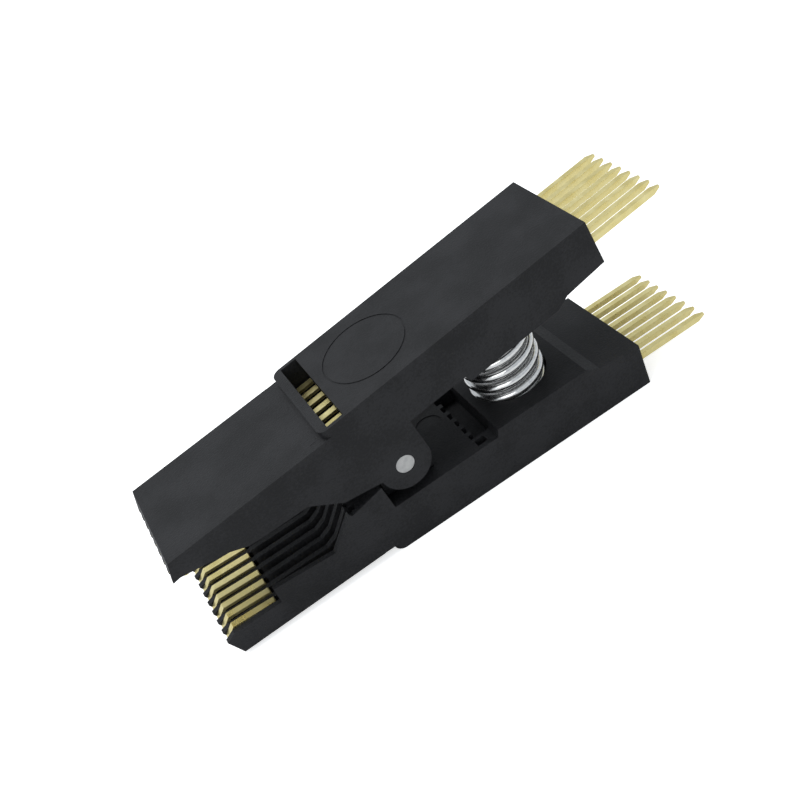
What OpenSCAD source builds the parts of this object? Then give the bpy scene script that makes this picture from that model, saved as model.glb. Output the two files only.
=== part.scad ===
// Spring-loaded test clip for a small-outline integrated circuit.
// Two alike moulded arms turn on one cross pin; a compression spring keeps the
// handles apart, and one row of folded strip contacts runs through each arm
// from the jaw to the header pins at its back.
// The lower arm lies flat: X runs towards the header pins, Y across, Z up, and
// the origin is on the lower handle's outer face, straight below the pivot.

/* [Lead rows] */
// Distance between neighbouring leads of the package
pitch = 1.27; // [1.1:0.01:1.4]
// Contacts in each arm
leads = 8; // [4:1:8]

/* [Arms] */
// Width of both arms
arm_w = 10.64; // [10.5:0.02:12]
// Pivot axis to the back end of a handle
handle_len = 21.7; // [20:0.1:26]
// Pivot axis to the front of a jaw lip
nose_len = 18.95; // [18.2:0.05:20]
// Pivot axis to the outer face of a handle
handle_h = 7.3; // [7:0.05:8]
// Pivot axis to the outer face of a nose, at the step
nose_h = 6.55; // [6.3:0.05:6.8]
// How far the nose thickens from the step to the front
nose_rise = 0.35; // [0:0.05:0.5]
// Distance of the step in front of the pivot
step_x = 3.8; // [3.4:0.1:4.5]
// How far the jaw lip leads the outer corner of the nose
front_slant = 0.7; // [0.2:0.05:1]
// Corner radius of the raised handle pad, seen from above
pad_r = 0.8; // [0.3:0.1:1.5]
// Angle between the arms at rest
rest_angle = 7.2; // [5:0.1:9]

/* [Jaws] */
// Pivot plane to the land that the contact fingers lie on
land_z = 4.9; // [4.7:0.05:5.1]
// Pivot plane to the side wall beside the land
cheek_z = 4.7; // [4.5:0.05:4.9]
// Distance of the package stop in front of the pivot
stop_x = 13.75; // [13.2:0.05:14]
// Pivot plane to the tops of the comb ribs in the throat
rib_z = 3.8; // [3.5:0.05:4]
// Distance of the throat's back corner in front of the pivot
throat_x = 8.4; // [8:0.1:9]
// Distance of the bulkhead in front of the pivot
bulkhead_x = 5.7; // [5.4:0.1:6]
// Thickness of the side wall beside the outermost contact slot
skin = 0.5; // [0.4:0.02:0.6]
// Width of a comb slot
slot_w = 0.76; // [0.7:0.02:0.8]
// Depth of the comb slots in the bulkhead
slot_d = 0.8; // [0.4:0.1:1]

/* [Pivot] */
// Diameter of the pivot pin
pin_d = 1.58; // [1.4:0.02:1.8]
// Radial clearance of the pin in its bores
pin_fit = 0.03; // [0.02:0.01:0.08]
// How far each pin end lies below the side of the arm
pin_sink = 0.05; // [0:0.01:0.2]
// Radius of the pivot lugs
lug_r = 2.26; // [2:0.02:2.35]
// Thickness of the outer lug
lug_t = 1.6; // [1.3:0.05:1.8]
// Thickness of the inner lug
inner_lug_t = 1.4; // [1:0.05:1.6]
// Side clearance between an outer lug and the inner lug beside it
lug_gap = 0.1; // [0.06:0.01:0.2]
// Gap between the two bulkheads when the jaws are closed
stop_gap = 0.12; // [0.08:0.01:0.3]

/* [Handles] */
// Pivot plane to the inner edge of the side walls beside the pivot
flank_z = 3.0; // [2.7:0.05:3.2]
// Pivot plane to the floor between the side walls beside the pivot
floor_z = 3.3; // [3.2:0.05:3.6]
// Pivot plane to the face that carries the spring
seat_z = 2.3; // [2.2:0.05:2.6]
// Distance of the trench behind the pivot
trench_x = 6.4; // [6:0.1:6.8]
// Width of the trench along the arm
trench_w = 1.5; // [1.1:0.05:1.7]
// Pivot plane to the floor of the trench
trench_z = 4.4; // [4:0.05:4.5]
// Length of the header block at the back of a handle
header_len = 3.9; // [3:0.1:4.5]
// Length of the bevel in front of the header block
bevel_len = 1.15; // [0.6:0.05:1.4]
// Pivot plane to the header block's inner face, at the bevel
header_z = 2.88; // [2.7:0.02:3.2]
// How far that face falls away towards the back end
header_fall = 0.3; // [0:0.05:0.5]

/* [Window] */
// Distance of the window's front edge in front of the pivot
window_x = 2.95; // [2.6:0.05:3.2]
// Length of the window along the arm
window_l = 1.5; // [1:0.05:2]
// Wall left at each side of the window
window_wall = 0.35; // [0.3:0.05:0.6]

/* [Spring] */
// Distance of the spring's axis behind the pivot
spring_x = 12.0; // [11.6:0.1:12.6]
// Outer diameter of the spring
spring_od = 6.6; // [5.6:0.1:7]
// Diameter of the spring wire
wire_d = 0.7; // [0.5:0.05:0.75]
// Turns of the spring
spring_turns = 8; // [6:0.5:8]
// Radial clearance of the spring in its seats
spring_fit = 0.15; // [0.05:0.05:0.3]
// Pivot plane to the floor of a spring seat
spring_floor_z = 4.3; // [4:0.05:4.4]

/* [Contacts] */
// Side of the square header pins
post_w = 0.52; // [0.46:0.02:0.64]
// Length of the header pins behind the handle
post_len = 6.95; // [5:0.05:9]
// Length of the tapered pin tip
post_tip = 0.7; // [0.3:0.1:1]
// Pivot plane to the header pins' centre line
post_z = 4.98; // [4.9:0.02:5.1]
// Width of the contact strip
strip_w = 0.62; // [0.5:0.02:0.66]
// Thickness of the contact strip
strip_t = 0.28; // [0.2:0.02:0.3]
// Pivot plane to the strip's centre line inside the nose
nose_run_z = 5.7; // [5.6:0.02:5.8]
// Clearance of a contact in its channel
contact_fit = 0.02; // [0.01:0.005:0.04]
// Length of the folded finger on the jaw
finger_len = 4.35; // [3.5:0.05:4.4]

/* [Marks] */
// Radius of the plain ring on the handle's outer face
ring_r = 3.65; // [2:0.05:4]
// Width of that ring's groove
ring_w = 0.16; // [0.1:0.02:0.3]
// Depth of the moulded marks
mark_d = 0.06; // [0.03:0.01:0.12]
// Radius of the ejector mark on the floor beside the pivot
ejector_r = 1.2; // [0.8:0.1:1.4]

/* [Hidden] */
$fn = 64;

body_black = "#26272a";
gold = "#d8c684";
steel = "#adadad";
cut = 1;                                   // how far cutters reach past a face

half_w = arm_w / 2;
lug_y = half_w - lug_t;                    // inner side of an outer lug
trench_back = trench_x + trench_w;
header_x = handle_len - header_len;        // back edge of the bevel
seat_back = header_x - bevel_len;
nose_z = nose_h + nose_rise;               // outer nose face at the front
lip_z = land_z + 0.25;                     // inner point of the jaw lip
slot_floor = nose_run_z + strip_t / 2 + contact_fit;
rib_riser = bulkhead_x + 0.1;              // where ribs meet the bulkhead's top
spring_r = (spring_od - wire_d) / 2;

// Height of the closing stop above the pivot plane of its own arm
function stop_z(x) = (stop_gap / 2 - x * sin(rest_angle / 2)) / cos(rest_angle / 2);
// Place of contact i across the arm, counted from the +Y side of the clip
function lead_y(i) = (leads + 1 - 2 * i) / 2 * pitch;

// ---------------------------------------------------------------- outlines
// All outlines lie in the arm's own frame: x towards the header pins from the
// pivot, z away from the other arm.

function outer_side() = [
  [-nose_len, lip_z], [front_slant - nose_len, nose_z], [-step_x, nose_h],
  [-step_x, handle_h], [handle_len, handle_h]
];
function handle_inside() = [
  [handle_len, header_z + header_fall], [header_x, header_z],
  [seat_back, seat_z], [trench_back, seat_z]
];

// Comb and floor between the side walls
module core_outline()
  polygon(concat(outer_side(), handle_inside(), [
    [trench_back, trench_z], [trench_x, trench_z], [trench_x, floor_z],
    [-lug_r - 0.2, floor_z], [-lug_r - 0.2, stop_z(-lug_r - 0.2)],
    [-bulkhead_x + 0.3, stop_z(-bulkhead_x + 0.3)], [-bulkhead_x, 1.35],
    [-bulkhead_x - 0.75, 2.25], [-bulkhead_x - 1.75, rib_z - 0.45],
    [-throat_x, rib_z], [-stop_x, rib_z], [-stop_x, land_z],
    [-nose_len + 0.75, land_z]
  ]));

// Side wall that carries the outer lug
module lug_side_outline()
  polygon(concat(outer_side(), handle_inside(), [
    [trench_back - 0.25, flank_z], [lug_r, flank_z], [lug_r, 0], [-lug_r, 0],
    [-bulkhead_x + 0.2, 0.85], [-throat_x + 0.6, rib_z - 1], [-stop_x + 1.8, rib_z - 0.55],
    [-stop_x + 0.7, rib_z - 0.35], [-stop_x - 0.65, cheek_z - 0.55],
    [-nose_len + 0.7, lip_z + 0.05]
  ]));

// Side wall that clears the other arm's outer lug
module clear_side_outline()
  polygon(concat(outer_side(), handle_inside(), [
    [trench_back - 0.25, flank_z], [-lug_r - 0.05, flank_z + 0.1], [-lug_r - 0.3, 0.65],
    [-bulkhead_x + 0.1, 1.4], [-bulkhead_x - 0.1, 1.05],
    [-throat_x + 0.2, rib_z - 0.2], [-stop_x, rib_z - 0.65],
    [-stop_x, cheek_z], [-nose_len + 0.8, cheek_z]
  ]));

// Round pivot lug with a neck that joins it to the floor
module lug_outline() {
  circle(r = lug_r);
  translate([-lug_r, 0])
    square([2 * lug_r, floor_z + 0.2]);
}

// Extrudes an outline of the arm from y0 to y1
module across(y0, y1)
  translate([0, y1, 0]) rotate([90, 0, 0]) linear_extrude(y1 - y0) children();

// ---------------------------------------------------------------- contacts

// Centre line of the strip, from the header block to the finger's free end
function strip_path() = [
  [header_x, post_z], [-stop_x + 3.4, post_z], [-stop_x + 1.8, nose_run_z],
  [-nose_len + 0.62, nose_run_z], [-nose_len + 0.33, nose_run_z - 0.3],
  [-nose_len + 1.05, land_z - 0.2], [-nose_len + 0.4 + finger_len, land_z - 0.02]
];
function unit(v) = v / norm(v);
function left(v) = [-v[1], v[0]];
// Offset of point i of a path, mitred so that the strip keeps its thickness
function mitre(p, i) =
  i == 0 ? left(unit(p[1] - p[0])) :
  i == len(p) - 1 ? left(unit(p[i] - p[i - 1])) :
  let (a = left(unit(p[i] - p[i - 1])), b = left(unit(p[i + 1] - p[i])))
  (a + b) / (1 + a * b);
function strip_points(p, t) = concat(
  [for (i = [0 : len(p) - 1]) p[i] + mitre(p, i) * t / 2],
  [for (i = [len(p) - 1 : -1 : 0]) p[i] - mitre(p, i) * t / 2]
);

// One strip contact with its square header pin, centred on y = 0
module contact() {
  tip_x = handle_len + post_len;
  p = strip_path();
  color(gold) {
    across(-strip_w / 2, strip_w / 2) {
      polygon(strip_points(p, strip_t));
      translate(p[len(p) - 1]) circle(d = strip_t);
    }
    intersection() {
      across(-post_w / 2, post_w / 2)
        polygon([
          [header_x - 0.4, post_z - post_w / 2], [tip_x - post_tip, post_z - post_w / 2],
          [tip_x, post_z - post_w / 5], [tip_x, post_z + post_w / 5],
          [tip_x - post_tip, post_z + post_w / 2], [header_x - 0.4, post_z + post_w / 2]
        ]);
      translate([0, 0, post_z - post_w])
        linear_extrude(2 * post_w)
          polygon([
            [header_x - 0.4, -post_w / 2], [tip_x - post_tip, -post_w / 2],
            [tip_x, -post_w / 5], [tip_x, post_w / 5],
            [tip_x - post_tip, post_w / 2], [header_x - 0.4, post_w / 2]
          ]);
    }
  }
}

// Room for one contact in the arm
module contact_channel() {
  w = strip_w / 2 + contact_fit;
  s = post_w / 2 + contact_fit;
  p = strip_path();
  across(-w, w)
    polygon(strip_points(p, strip_t + 2 * contact_fit));
  across(-s, s)
    translate([header_x - 0.4 - contact_fit, post_z - s])
      square([header_len + 0.4 + contact_fit + cut, 2 * s]);
}

// Comb slot: open towards the jaw, the throat and the bulkhead's front
module comb_slot()
  across(-slot_w / 2, slot_w / 2)
    polygon([
      [-nose_len - cut, 0], [-bulkhead_x + slot_d - 0.2, 0], [-bulkhead_x + slot_d, 1.3],
      [-bulkhead_x - 1 + slot_d, post_z - strip_t / 2], [-stop_x + 3.4, post_z + 0.16],
      [-stop_x + 1.8, slot_floor], [-nose_len - cut, slot_floor]
    ]);

// ---------------------------------------------------------------- arm

module arm_solid() {
  across(-half_w + skin, half_w - skin)
    intersection() {
      core_outline();
      translate([-nose_len - cut, 0])
        square([nose_len + cut - rib_riser, handle_h]);
    }
  across(-lug_y, lug_y)
    core_outline();
  across(-half_w, -half_w + skin)
    lug_side_outline();
  across(half_w - skin, half_w)
    clear_side_outline();
  // Beyond the throat both side walls are as thick as the outer lug
  across(-half_w, -lug_y)
    intersection() {
      lug_side_outline();
      translate([-rib_riser, 0])
        square([handle_len + rib_riser, handle_h]);
    }
  across(lug_y, half_w)
    intersection() {
      clear_side_outline();
      translate([-rib_riser, 0])
        square([handle_len + rib_riser, handle_h]);
    }
  across(-half_w, -lug_y)
    lug_outline();
  across(lug_y - lug_gap - inner_lug_t, lug_y - lug_gap)
    lug_outline();
}

// Rounds the raised handle pad's corners at the step
module pad_corner()
  translate([-step_x, half_w - pad_r, nose_h])
    difference() {
      translate([-cut, 0, 0])
        cube([pad_r + cut, pad_r + cut, handle_h]);
      translate([pad_r, 0, -cut])
        cylinder(r = pad_r, h = handle_h + 2 * cut);
    }

module arm() {
  color(body_black)
    difference() {
      arm_solid();
      pad_corner();
      mirror([0, 1, 0])
        pad_corner();
      for (i = [1 : leads])
        translate([0, lead_y(i), 0]) {
          contact_channel();
          comb_slot();
          // Notch in the floor's back edge, in line with the contact
          translate([trench_x - 0.4, -slot_w / 2, floor_z - cut])
            cube([0.4 + cut / 2, slot_w, trench_z - floor_z + cut]);
        }
      // Window over the contacts, behind the step
      translate([-window_x, -half_w + window_wall, post_z - strip_t])
        cube([window_l, arm_w - 2 * window_wall, handle_h]);
      // Pivot bore through both lugs
      rotate([90, 0, 0])
        cylinder(d = pin_d + 2 * pin_fit, h = arm_w + 2 * cut, center = true);
      // Seat of the spring
      translate([spring_x, 0, -cut])
        cylinder(d = spring_od + 2 * spring_fit, h = spring_floor_z + cut);
      // Plain ring on the outer face, and the ejector mark on the floor
      translate([ring_x(), 0, handle_h - mark_d])
        difference() {
          cylinder(r = ring_r + ring_w / 2, h = cut);
          translate([0, 0, -cut])
            cylinder(r = ring_r - ring_w / 2, h = 3 * cut);
        }
      translate([(lug_r + trench_x) / 2, -pitch, floor_z - cut])
        cylinder(r = ejector_r, h = cut + mark_d);
    }
}
function ring_x() = 3.1;

module in_lower_arm()
  translate([0, 0, handle_h]) rotate([180, 0, 0]) children();
module in_upper_arm()
  translate([0, 0, handle_h]) rotate([0, -rest_angle, 0]) children();

module lower_contact(i)
  in_lower_arm() translate([0, -lead_y(i), 0]) contact();
module upper_contact(i)
  in_upper_arm() translate([0, lead_y(i), 0]) contact();

// ---------------------------------------------------------------- pin and spring

module pivot_pin() {
  color(steel)
    translate([0, 0, handle_h]) rotate([90, 0, 0])
      cylinder(d = pin_d, h = arm_w - 2 * pin_sink, center = true);
}

// The spring's axis bends with the arms, so that it stands square on both seats
chord = 2 * (spring_x * sin(rest_angle / 2) + spring_floor_z * cos(rest_angle / 2));
bend_r = chord / 2 / sin(rest_angle / 2);
coil_fn = 20;                              // rings of the swept wire per turn
wire_fn = 8;                               // sides of the swept wire
end_turns = 1;                             // closed turns at each end
seat_gap = 0.02;                           // end coil above its seat
rings = spring_turns * coil_fn;
axis_len = bend_r * rest_angle * PI / 180; // length of the bent axis
// Distance along the axis of ring k: closed turns at the ends, open ones between
function open_pitch() =
  (axis_len - 2 * seat_gap - wire_d - 2 * end_turns * wire_d * 1.06)
  / (spring_turns - 2 * end_turns);
function rise(t) =
  min(t, end_turns) * wire_d * 1.06
  + max(0, min(t, spring_turns - end_turns) - end_turns) * open_pitch()
  + max(0, t - spring_turns + end_turns) * wire_d * 1.06;
// A point of the spring in its own bent frame: s along the axis, r and y across
function on_axis(s, r, y) =
  let (a = s / axis_len * rest_angle)
  [spring_x - bend_r + (bend_r + r) * cos(a), y, handle_h - spring_floor_z + (bend_r + r) * sin(a)];
function wire_ring(k) =
  let (t = k / coil_fn, a = 360 * t, s = seat_gap + wire_d / 2 + rise(t))
  [for (j = [0 : wire_fn - 1])
    let (b = 360 * j / wire_fn, q = spring_r + wire_d / 2 * cos(b))
    on_axis(s + wire_d / 2 * sin(b), q * cos(a), q * sin(a))];

module handle_spring() {
  color(steel)
    polyhedron(
      points = [for (k = [0 : rings]) each wire_ring(k)],
      faces = concat(
        [[for (j = [0 : wire_fn - 1]) j]],
        [for (k = [0 : rings - 1]) for (j = [0 : wire_fn - 1])
          let (n = (j + 1) % wire_fn)
          [k * wire_fn + j, (k + 1) * wire_fn + j, (k + 1) * wire_fn + n, k * wire_fn + n]],
        [[for (j = [wire_fn - 1 : -1 : 0]) rings * wire_fn + j]]
      ),
      convexity = 10
    );
}

module lower_arm() in_lower_arm() arm();
module upper_arm() in_upper_arm() arm();

lower_arm();
upper_arm();
pivot_pin();
handle_spring();
lower_contact(1);  // lower_contact_1
lower_contact(2);  // lower_contact_2
lower_contact(3);  // lower_contact_3
lower_contact(4);  // lower_contact_4
lower_contact(5);  // lower_contact_5
lower_contact(6);  // lower_contact_6
lower_contact(7);  // lower_contact_7
lower_contact(8);  // lower_contact_8
upper_contact(1);  // upper_contact_1
upper_contact(2);  // upper_contact_2
upper_contact(3);  // upper_contact_3
upper_contact(4);  // upper_contact_4
upper_contact(5);  // upper_contact_5
upper_contact(6);  // upper_contact_6
upper_contact(7);  // upper_contact_7
upper_contact(8);  // upper_contact_8
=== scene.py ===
# %% [markdown]
# # A test clip for small-outline chips
#
# This lesson dresses a finished construction model in Blender. The model is a
# small spring-loaded clip: two alike black moulded arms turn on a steel pin,
# a coil spring pushes the handles apart, and eight gold contacts run through
# each arm, from the jaw to the header pins at its back. The arms, the pin and
# the contacts keep the construction model's shapes and only get their
# finishes. The coil spring is made anew, because the construction model's wire
# is thinner than a real one's and has few facets.

# %% Load the model
import math

import bpy
import numpy as np
from mathutils import Matrix, Vector


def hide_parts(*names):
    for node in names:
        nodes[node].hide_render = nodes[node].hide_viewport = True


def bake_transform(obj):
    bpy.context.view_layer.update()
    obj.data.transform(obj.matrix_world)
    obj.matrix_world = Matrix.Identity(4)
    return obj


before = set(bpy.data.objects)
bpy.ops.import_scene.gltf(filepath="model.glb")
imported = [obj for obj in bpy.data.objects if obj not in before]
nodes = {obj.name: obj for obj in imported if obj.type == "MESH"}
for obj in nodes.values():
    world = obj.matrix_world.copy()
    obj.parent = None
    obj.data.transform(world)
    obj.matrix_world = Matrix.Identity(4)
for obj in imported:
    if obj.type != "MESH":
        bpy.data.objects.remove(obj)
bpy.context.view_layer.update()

MM = 0.001

# %% [markdown]
# ## Sizes that the spring needs
#
# The spring stands in two round seats, one in each handle. The construction
# model gives their places, in the lower arm's frame: the origin lies below the
# pivot on the face that the clip rests on. The two seats are tilted against
# each other, so the spring's axis is an arc from one seat to the other.

# %% Named sizes
PIVOT_Z = 7.3 * MM              # pivot axis above the resting face
REST_ANGLE = math.radians(7.2)  # angle between the two arms at rest
SEAT_X = 12.0 * MM              # spring axis behind the pivot
SEAT_DEPTH = 4.3 * MM           # seat floor from the pivot plane

lower_seat = Vector((SEAT_X, 0, PIVOT_Z - SEAT_DEPTH))
half_chord = (SEAT_X * math.sin(REST_ANGLE / 2)
              + SEAT_DEPTH * math.cos(REST_ANGLE / 2))
bend_radius = half_chord / math.sin(REST_ANGLE / 2)
axis_length = bend_radius * REST_ANGLE
print("spring length in its seats:", round(axis_length / MM, 2), "mm")

# %% [markdown]
# ## The camera
#
# The camera stands in front of the clip's long side, a hand's width away and
# well above it, and it is turned about its own view axis, so that the clip
# lies across the picture from the lower left to the upper right. Its rotation
# is built from three directions at right angles, which is easier to read than
# three angles.

# %% Camera
CAMERA_PLACE_MM = (-10.51, -72.47, 62.99)
CAMERA_RIGHT = (0.8281, -0.4257, -0.3649)
CAMERA_FORWARD = (0.1464, 0.7924, -0.5922)
LENS_MM = 50.92
SENSOR_MM = 36
NEAREST = 1 * MM
FARTHEST = 10.0                 # metres

bpy.ops.object.camera_add(location=[v * MM for v in CAMERA_PLACE_MM])
camera = bpy.context.object
camera.name = "lesson_camera"
right = Vector(CAMERA_RIGHT).normalized()
forward = Vector(CAMERA_FORWARD).normalized()
up = right.cross(forward).normalized()
right = forward.cross(up).normalized()
camera.rotation_euler = Matrix((right, up, -forward)).transposed().to_euler()
camera.data.lens = LENS_MM
camera.data.sensor_width = SENSOR_MM
camera.data.clip_start = NEAREST
camera.data.clip_end = FARTHEST
bpy.context.scene.camera = camera
print("camera turned to, in degrees:",
      [round(math.degrees(a), 2) for a in camera.rotation_euler])

# %% [markdown]
# ## The world
#
# Black plastic shows its shape through what it reflects, so the light is wide
# and soft. A pale world lights the clip from all round. Camera rays that miss
# everything meet plain white instead, so the picture's ground stays clean
# whatever the light's strength is.

# %% World
SKY_COLOUR = (0.9, 0.95, 1.0, 1)
SKY_STRENGTH = 0.72
WHITE = (1, 1, 1, 1)

scene = bpy.context.scene
scene.view_settings.view_transform = "Standard"
world = bpy.data.worlds.new("pale_studio")
scene.world = world
world.use_nodes = True
tree = world.node_tree
tree.nodes.clear()
sky = tree.nodes.new("ShaderNodeBackground")
sky.inputs["Color"].default_value = SKY_COLOUR
sky.inputs["Strength"].default_value = SKY_STRENGTH
paper = tree.nodes.new("ShaderNodeBackground")
paper.inputs["Color"].default_value = WHITE
paths = tree.nodes.new("ShaderNodeLightPath")
mix = tree.nodes.new("ShaderNodeMixShader")
out = tree.nodes.new("ShaderNodeOutputWorld")
tree.links.new(paths.outputs["Is Camera Ray"], mix.inputs[0])
tree.links.new(sky.outputs[0], mix.inputs[1])
tree.links.new(paper.outputs[0], mix.inputs[2])
tree.links.new(mix.outputs[0], out.inputs[0])
print("world:", world.name, "strength", SKY_STRENGTH)

# %% [markdown]
# ## Two lamps
#
# Two large square panels stand for a studio's soft boxes: one above and a
# little behind the clip, which lights the upper faces, and a weaker one on
# the camera's side, which keeps the long side from going fully black.

# %% Lamps
LIT_POINT = (0, 0, 0.01)        # both panels face the clip's middle


def soft_panel(name, place, size, watts):
    """A square area lamp at a place, turned to the clip."""
    bpy.ops.object.light_add(type="AREA", location=place)
    lamp = bpy.context.object
    lamp.name = name
    lamp.data.size = size
    lamp.data.energy = watts
    aim = Vector(LIT_POINT) - Vector(place)
    lamp.rotation_euler = aim.to_track_quat("-Z", "Y").to_euler()
    print("lamp:", name, watts, "W")


soft_panel("panel_above", (-0.06, 0.06, 0.32), 0.26, 0.75)
soft_panel("panel_front", (-0.25, -0.30, 0.20), 0.25, 0.45)

# %% [markdown]
# ## The floor
#
# The clip lies on white paper. The paper's camera rays get a little light of
# their own, so it reads as white and still keeps the clip's soft shadow.

# %% Floor
FLOOR_SIZE = 1.6                # metres
FLOOR_DROP = 0.02 * MM          # keeps the paper clear of the resting face
PAPER_GREY = (0.78, 0.78, 0.78, 1)
PAPER_ROUGHNESS = 0.9
PAPER_LIFT = 0.6                # light added for camera rays only

bpy.ops.mesh.primitive_plane_add(size=FLOOR_SIZE, location=(0, 0, -FLOOR_DROP))
floor = bpy.context.object
floor.name = "paper_floor"
paper_white = bpy.data.materials.new("paper_white")
paper_white.use_nodes = True
tree = paper_white.node_tree
surface = tree.nodes["Principled BSDF"]
surface.inputs["Base Color"].default_value = PAPER_GREY
surface.inputs["Roughness"].default_value = PAPER_ROUGHNESS
surface.inputs["Emission Color"].default_value = WHITE
paths = tree.nodes.new("ShaderNodeLightPath")
lift = tree.nodes.new("ShaderNodeMath")
lift.operation = "MULTIPLY"
lift.inputs[1].default_value = PAPER_LIFT
tree.links.new(paths.outputs["Is Camera Ray"], lift.inputs[0])
tree.links.new(lift.outputs[0], surface.inputs["Emission Strength"])
floor.data.materials.append(paper_white)
print("floor:", floor.name)


# %% [markdown]
# ## Finishes
#
# Three small helpers place the nodes that every finish needs: a math node, a
# noise and a colour ramp.

# %% Node helpers
def math_node(tree, operation, *operands):
    """A Math node; each operand is a number or another node's output."""
    node = tree.nodes.new("ShaderNodeMath")
    node.operation = operation
    for socket, value in zip(node.inputs, operands):
        if isinstance(value, (int, float)):
            socket.default_value = value
        else:
            tree.links.new(value, socket)
    return node.outputs[0]


def noise_node(tree, vector, scale, detail, roughness=0.5):
    node = tree.nodes.new("ShaderNodeTexNoise")
    tree.links.new(vector, node.inputs["Vector"])
    if isinstance(scale, (int, float)):
        node.inputs["Scale"].default_value = scale
    else:
        tree.links.new(scale, node.inputs["Scale"])
    node.inputs["Detail"].default_value = detail
    node.inputs["Roughness"].default_value = roughness
    return node.outputs["Fac"]


def ramp(tree, factor, places, values):
    """A colour ramp; a single number as value stands for a grey."""
    node = tree.nodes.new("ShaderNodeValToRGB")
    tree.links.new(factor, node.inputs["Fac"])
    for element, place, value in zip(node.color_ramp.elements, places, values):
        element.position = place
        is_colour = isinstance(value, tuple)
        element.color = value if is_colour else (value, value, value, 1)
    return node.outputs["Color"]


def new_material(name):
    """A material, its node tree, its shader and its Object coordinates."""
    material = bpy.data.materials.new(name)
    material.use_nodes = True
    tree = material.node_tree
    coords = tree.nodes.new("ShaderNodeTexCoord").outputs["Object"]
    return material, tree, tree.nodes["Principled BSDF"], coords


print("node helpers are ready")

# %% [markdown]
# ### The mould's grain
#
# A spark-eroded mould leaves a fine, even grain on the plastic. Two noises
# give it: one for single grains, one for slow patches. They are put in a node
# group, which puts out a height for the bump and a mask for the colour.

# %% Node group: moulded grain
GRAIN_SCALE = 5200.0            # per metre: a grain is about 0.2 mm
GRAIN_DETAIL = 3.0
GRAIN_ROUGHNESS = 0.6
PATCH_SCALE = 260.0             # per metre: a patch is about 4 mm
PATCH_DETAIL = 2.0

grain = bpy.data.node_groups.new("moulded_grain", "ShaderNodeTree")
for name, way, kind in (
    ("Vector", "INPUT", "NodeSocketVector"),
    ("Grain Scale", "INPUT", "NodeSocketFloat"),
    ("Height", "OUTPUT", "NodeSocketFloat"),
    ("Patches", "OUTPUT", "NodeSocketFloat"),
):
    grain.interface.new_socket(name, in_out=way, socket_type=kind)
enter = grain.nodes.new("NodeGroupInput").outputs
leave = grain.nodes.new("NodeGroupOutput").inputs
fine = noise_node(grain, enter["Vector"], enter["Grain Scale"],
                  GRAIN_DETAIL, GRAIN_ROUGHNESS)
slow = noise_node(grain, enter["Vector"], PATCH_SCALE, PATCH_DETAIL)
grain.links.new(fine, leave["Height"])
grain.links.new(slow, leave["Patches"])
print("group:", grain.name)

# %% [markdown]
# ### Black moulded plastic
#
# Both arms are one black moulding. It is nearly black, half rough, and mirrors
# little. The noses have a stronger grain than the handles, so the height
# is multiplied by more in front of the step between the two.

# %% Material: black moulded plastic
STEP_X = 3.8 * MM               # the step lies this far in front of the pivot
DARK_PLASTIC = (0.0060, 0.0062, 0.0070, 1)
LIGHT_PLASTIC = (0.0145, 0.0147, 0.0162, 1)
MOTTLE_ENDS = (0.35, 0.65)
SPECKLE = 1.2                   # share of single grains in the colour
PLASTIC_ROUGHNESS = (0.46, 0.66)
HANDLE_RELIEF = 0.8
NOSE_EXTRA_RELIEF = 0.9
BUMP_STRENGTH = 0.7
BUMP_DISTANCE = 0.05 * MM
PLASTIC_SPECULAR = 0.22
NOISE_MEAN = 0.5
NOISE_ENDS = (0.3, 0.7)         # nearly all of a noise lies between these

black_plastic, tree, surface, coords = new_material("black_moulded_plastic")
split = tree.nodes.new("ShaderNodeSeparateXYZ")
tree.links.new(coords, split.inputs[0])
on_nose = math_node(tree, "LESS_THAN", split.outputs["X"], -STEP_X)
skin = tree.nodes.new("ShaderNodeGroup")
skin.node_tree = grain
tree.links.new(coords, skin.inputs["Vector"])
skin.inputs["Grain Scale"].default_value = GRAIN_SCALE
centred = math_node(tree, "SUBTRACT", skin.outputs["Height"], NOISE_MEAN)
speckled = math_node(tree, "MULTIPLY", centred, SPECKLE)
mottle = math_node(tree, "ADD", skin.outputs["Patches"], speckled)
colour = ramp(tree, mottle, MOTTLE_ENDS, (DARK_PLASTIC, LIGHT_PLASTIC))
tree.links.new(colour, surface.inputs["Base Color"])
rough = ramp(tree, skin.outputs["Height"], NOISE_ENDS, PLASTIC_ROUGHNESS)
tree.links.new(rough, surface.inputs["Roughness"])
relief = math_node(tree, "MULTIPLY_ADD", on_nose, NOSE_EXTRA_RELIEF, HANDLE_RELIEF)
height = math_node(tree, "MULTIPLY", skin.outputs["Height"], relief)
bump = tree.nodes.new("ShaderNodeBump")
bump.inputs["Strength"].default_value = BUMP_STRENGTH
bump.inputs["Distance"].default_value = BUMP_DISTANCE
tree.links.new(height, bump.inputs["Height"])
tree.links.new(bump.outputs[0], surface.inputs["Normal"])
surface.inputs["Specular IOR Level"].default_value = PLASTIC_SPECULAR
print("material:", black_plastic.name)


# %% [markdown]
# ### The three metals
#
# The contacts are gold plated, the spring is bright drawn wire, and the pin
# shows a satin cut face. On each, colour and roughness drift a little together,
# as plating and drawing leave them, so one function makes all three from a
# noise and two ramps.

# %% Materials: gold plate, spring wire and pin steel
def drifting_metal(name, scale, detail, colours, roughnesses, metallic):
    material, tree, surface, coords = new_material(name)
    drift = noise_node(tree, coords, scale, detail)
    colour = ramp(tree, drift, NOISE_ENDS, colours)
    tree.links.new(colour, surface.inputs["Base Color"])
    rough = ramp(tree, drift, NOISE_ENDS, roughnesses)
    tree.links.new(rough, surface.inputs["Roughness"])
    surface.inputs["Metallic"].default_value = metallic
    print("material:", name)
    return material


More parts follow.
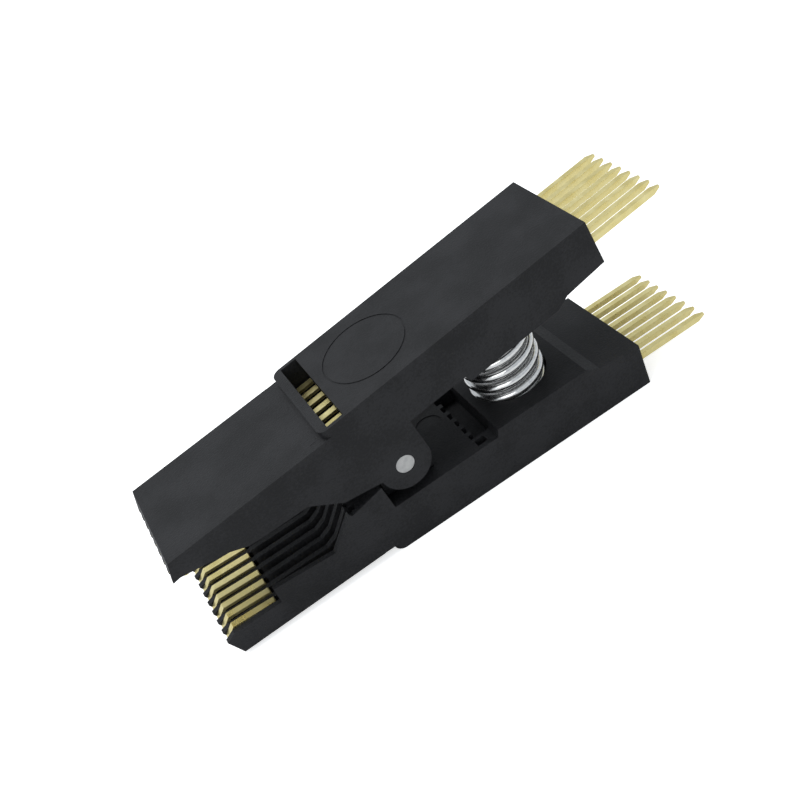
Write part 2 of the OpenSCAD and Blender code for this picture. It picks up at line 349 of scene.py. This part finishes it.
gold_plate = drifting_metal(
    "gold_plate", 900.0, 3.0,
    ((0.70, 0.59, 0.24, 1), (0.80, 0.71, 0.36, 1)), (0.24, 0.36), 0.9)
spring_steel = drifting_metal(
    "bright_spring_wire", 4000.0, 2.0,
    ((0.62, 0.62, 0.62, 1), (0.76, 0.76, 0.75, 1)), (0.16, 0.26), 1.0)
pin_steel = drifting_metal(
    "satin_pin_steel", 2500.0, 3.0,
    ((0.36, 0.36, 0.36, 1), (0.47, 0.47, 0.46, 1)), (0.35, 0.5), 0.8)


# %% [markdown]
# ## Dress the model's own parts
#
# The construction model's meshes stay as they are. A finish is put in each
# part's material slots, and its slot gets the finish's name.

# %% Put the finishes on
def give(node_name, material):
    node = nodes[node_name]
    if not node.material_slots:
        node.data.materials.append(material)
    for place in node.material_slots:
        place.material = material


for name in nodes:
    if "arm" in name:
        give(name, black_plastic)
    elif "contact" in name:
        give(name, gold_plate)
give("pivot_pin", pin_steel)
print("finishes are on the arms, the contacts and the pin")

# %% [markdown]
# ## The spring
#
# A coil spring is one round wire on a screw line, with its last turn at each
# end laid flat against the next. A circle with the Screw modifier makes
# exactly that. Three such coils are joined: a closed turn, the open
# turns, and the other closed turn. A Simple Deform bends the straight spring
# to the arc that it takes between the two tilted seats.

# %% Three lengths of coil
SPRING_OD = 6.86 * MM           # just inside the seats' 6.9 mm bore
WIRE_D = 0.88 * MM
TURNS = 8
END_TURNS = 1                   # closed turns at each end
SEAT_GAP = 0.02 * MM
CLOSED_RISE = WIRE_D * 1.06     # closed turns lie a hair apart
WIRE_SIDES = 16
STEPS_PER_TURN = 48

OPEN_TURNS = TURNS - 2 * END_TURNS
open_length = axis_length - 2 * SEAT_GAP - WIRE_D - 2 * END_TURNS * CLOSED_RISE
open_rise = open_length / OPEN_TURNS
coil_radius = (SPRING_OD - WIRE_D) / 2


def coil(height, turns, rise):
    """Wire on a screw line about Z, from a circle of the wire's section."""
    bpy.ops.object.select_all(action="DESELECT")
    bpy.ops.mesh.primitive_circle_add(
        vertices=WIRE_SIDES, radius=WIRE_D / 2, location=(coil_radius, 0, height),
        rotation=(math.pi / 2, 0, 0),
    )
    wire = bpy.context.object
    bpy.ops.object.transform_apply(location=True, rotation=True, scale=True)
    screw = wire.modifiers.new("Screw", "SCREW")
    screw.steps = screw.render_steps = STEPS_PER_TURN
    screw.iterations = turns
    screw.screw_offset = rise
    bpy.ops.object.modifier_apply(modifier=screw.name)
    return wire


foot = SEAT_GAP + WIRE_D / 2
open_start = foot + END_TURNS * CLOSED_RISE
open_end = open_start + OPEN_TURNS * open_rise
lengths = [
    coil(foot, END_TURNS, CLOSED_RISE),
    coil(open_start, OPEN_TURNS, open_rise),
    coil(open_end, END_TURNS, CLOSED_RISE),
]
print("open turns rise", round(open_rise / MM, 3), "mm each")

# %% [markdown]
# The three coils meet on the same circle, so merging doubles makes them one
# wire. The two open ends are then the only boundary left, and a face closes
# each of them.

# %% Join and cap them
MERGE_DISTANCE = 0.005 * MM

bpy.ops.object.select_all(action="DESELECT")
for part in lengths:
    part.select_set(True)
bpy.context.view_layer.objects.active = lengths[0]
bpy.ops.object.join()
spring = bpy.context.object
spring.name = "coil_spring"
bpy.ops.object.mode_set(mode="EDIT")
bpy.ops.mesh.select_all(action="SELECT")
bpy.ops.mesh.remove_doubles(threshold=MERGE_DISTANCE)
bpy.ops.mesh.select_all(action="DESELECT")
bpy.ops.mesh.select_non_manifold(extend=False)
bpy.ops.mesh.edge_face_add()
bpy.ops.mesh.select_all(action="SELECT")
bpy.ops.mesh.normals_make_consistent(inside=False)
bpy.ops.object.mode_set(mode="OBJECT")
print("spring faces:", len(spring.data.polygons))

# %% Bend the spring and stand it in its seat
along = np.array([v.co.z for v in spring.data.vertices])
bend = spring.modifiers.new("Bend", "SIMPLE_DEFORM")
bend.deform_method = "BEND"
bend.deform_axis = "Y"
bend.angle = -(along.max() - along.min()) / bend_radius
bpy.ops.object.modifier_apply(modifier=bend.name)
spring.location = lower_seat
bpy.ops.object.transform_apply(location=True, rotation=True, scale=True)
bpy.ops.object.shade_smooth()
spring.data.materials.append(spring_steel)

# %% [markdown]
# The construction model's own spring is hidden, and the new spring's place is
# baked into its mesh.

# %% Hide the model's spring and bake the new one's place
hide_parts("handle_spring")
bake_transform(spring)
